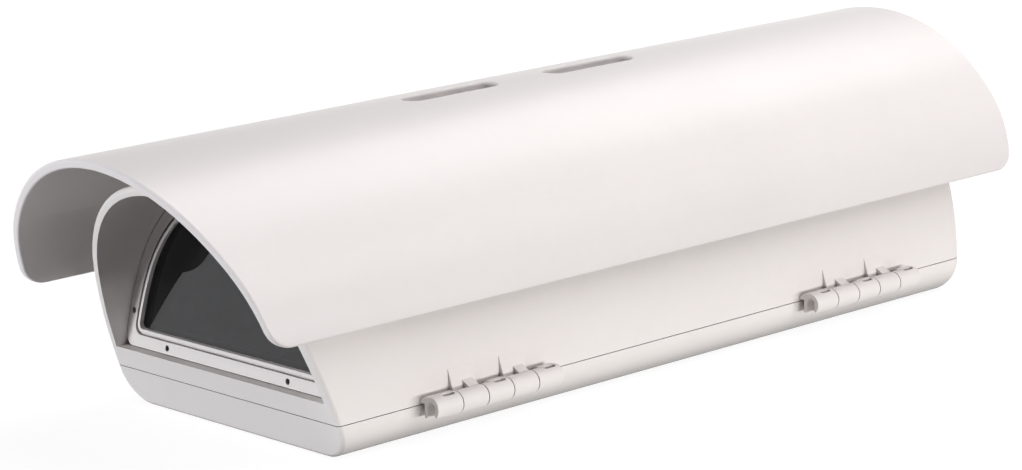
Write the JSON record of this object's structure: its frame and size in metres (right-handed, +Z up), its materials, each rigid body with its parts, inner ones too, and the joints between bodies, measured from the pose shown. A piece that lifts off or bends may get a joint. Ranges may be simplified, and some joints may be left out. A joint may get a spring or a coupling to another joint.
{
  "type": "security camera housing",
  "caption": "Outdoor housing for a box camera, with a hinged cover, a sloped window under a hood, a sliding sunshield, a sliding camera mount and rear cable glands.",
  "frame": {"origin": "centre of the four bracket holes, on the flat underside", "axes": "-Y is where the window looks, +X is the hinge side and +Z is up"},
  "size_m": [0.1561, 0.424, 0.1127],
  "materials": {
    "white_housing": "warm white moulded plastic, satin",
    "white_sunshield": "warm white moulded plastic, satin",
    "window_glass": "clear, polished",
    "black_rubber": "matt",
    "dark_steel": "blackened",
    "stainless": "bright",
    "brass": "plain",
    "grey_nylon": "moulded nylon",
    "aluminium": "plain sheet",
    "black_plastic": "moulded",
    "green_board": "lacquered board",
    "terminal_plastic": "moulded"
  },
  "bodies": {
    "base": {"base_tray": "white_housing", "hinge_pin_front": "stainless", "hinge_pin_rear": "stainless", "rim_seal": "black_rubber", "panel_seal": "black_rubber", "bracket_inserts": "brass", "lug_inserts": "brass", "gland_body_left": "grey_nylon", "gland_body_middle": "grey_nylon", "gland_body_right": "grey_nylon", "gland_locknuts": "grey_nylon", "gland_seals": "black_rubber", "camera_plate": "aluminium", "plate_screws": "stainless", "terminal_board": "green_board", "board_screws": "stainless", "terminal_strips": "terminal_plastic", "heater_block": "aluminium", "heater_screws": "stainless", "earth_screw": "brass"},
    "cover": {"cover_shell": "white_housing", "window_frame": "white_housing", "window_glass": "window_glass", "window_gasket": "black_rubber", "window_screws": "dark_steel", "shield_spacer_front": "grey_nylon", "shield_spacer_rear": "grey_nylon", "shield_screw_front": "stainless", "shield_screw_rear": "stainless", "shield_washers": "stainless", "shield_inserts": "brass"},
    "sunshield": {"sunshield": "white_sunshield"},
    "camera_block": {"camera_block": "black_plastic"},
    "camera_screw": {"camera_screw": "stainless"},
    "closing_screw_front": {"closing_screw_front": "stainless"},
    "closing_screw_rear": {"closing_screw_rear": "stainless"},
    "gland_nut_left": {"gland_nut_left": "grey_nylon"},
    "gland_nut_middle": {"gland_nut_middle": "grey_nylon"},
    "gland_nut_right": {"gland_nut_right": "grey_nylon"}
  },
  "joints": [
    {"name": "cover_hinge", "type": "hinge", "parent": "base", "child": "cover", "pos_m": [0.0734, 0, 0.0146], "axis": [0, 1, 0], "range_deg": [0, 95]},
    {"name": "sunshield_slide", "type": "slide", "parent": "cover", "child": "sunshield", "axis": [0, 1, 0], "range_m": [-0.015, 0.015]},
    {"name": "camera_slide", "type": "slide", "parent": "base", "child": "camera_block", "axis": [0, 1, 0], "range_m": [-0.06, 0.06]},
    {"name": "camera_screw_turn", "type": "hinge", "parent": "camera_block", "child": "camera_screw", "pos_m": [0, -0.013, 0.015], "axis": [0, 0, 1], "continuous": true},
    {"name": "closing_screw_front_turn", "type": "hinge", "parent": "cover", "child": "closing_screw_front", "pos_m": [-0.072, -0.09575, 0.02], "axis": [0, 0, 1], "continuous": true},
    {"name": "closing_screw_rear_turn", "type": "hinge", "parent": "cover", "child": "closing_screw_rear", "pos_m": [-0.072, 0.10875, 0.02], "axis": [0, 0, 1], "continuous": true},
    {"name": "gland_nut_left_turn", "type": "hinge", "parent": "base", "child": "gland_nut_left", "pos_m": [-0.025, 0.187, 0.0285], "axis": [0, 1, 0], "continuous": true},
    {"name": "gland_nut_middle_turn", "type": "hinge", "parent": "base", "child": "gland_nut_middle", "pos_m": [0, 0.187, 0.0285], "axis": [0, 1, 0], "continuous": true},
    {"name": "gland_nut_right_turn", "type": "hinge", "parent": "base", "child": "gland_nut_right", "pos_m": [0.025, 0.187, 0.0285], "axis": [0, 1, 0], "continuous": true}
  ]
}
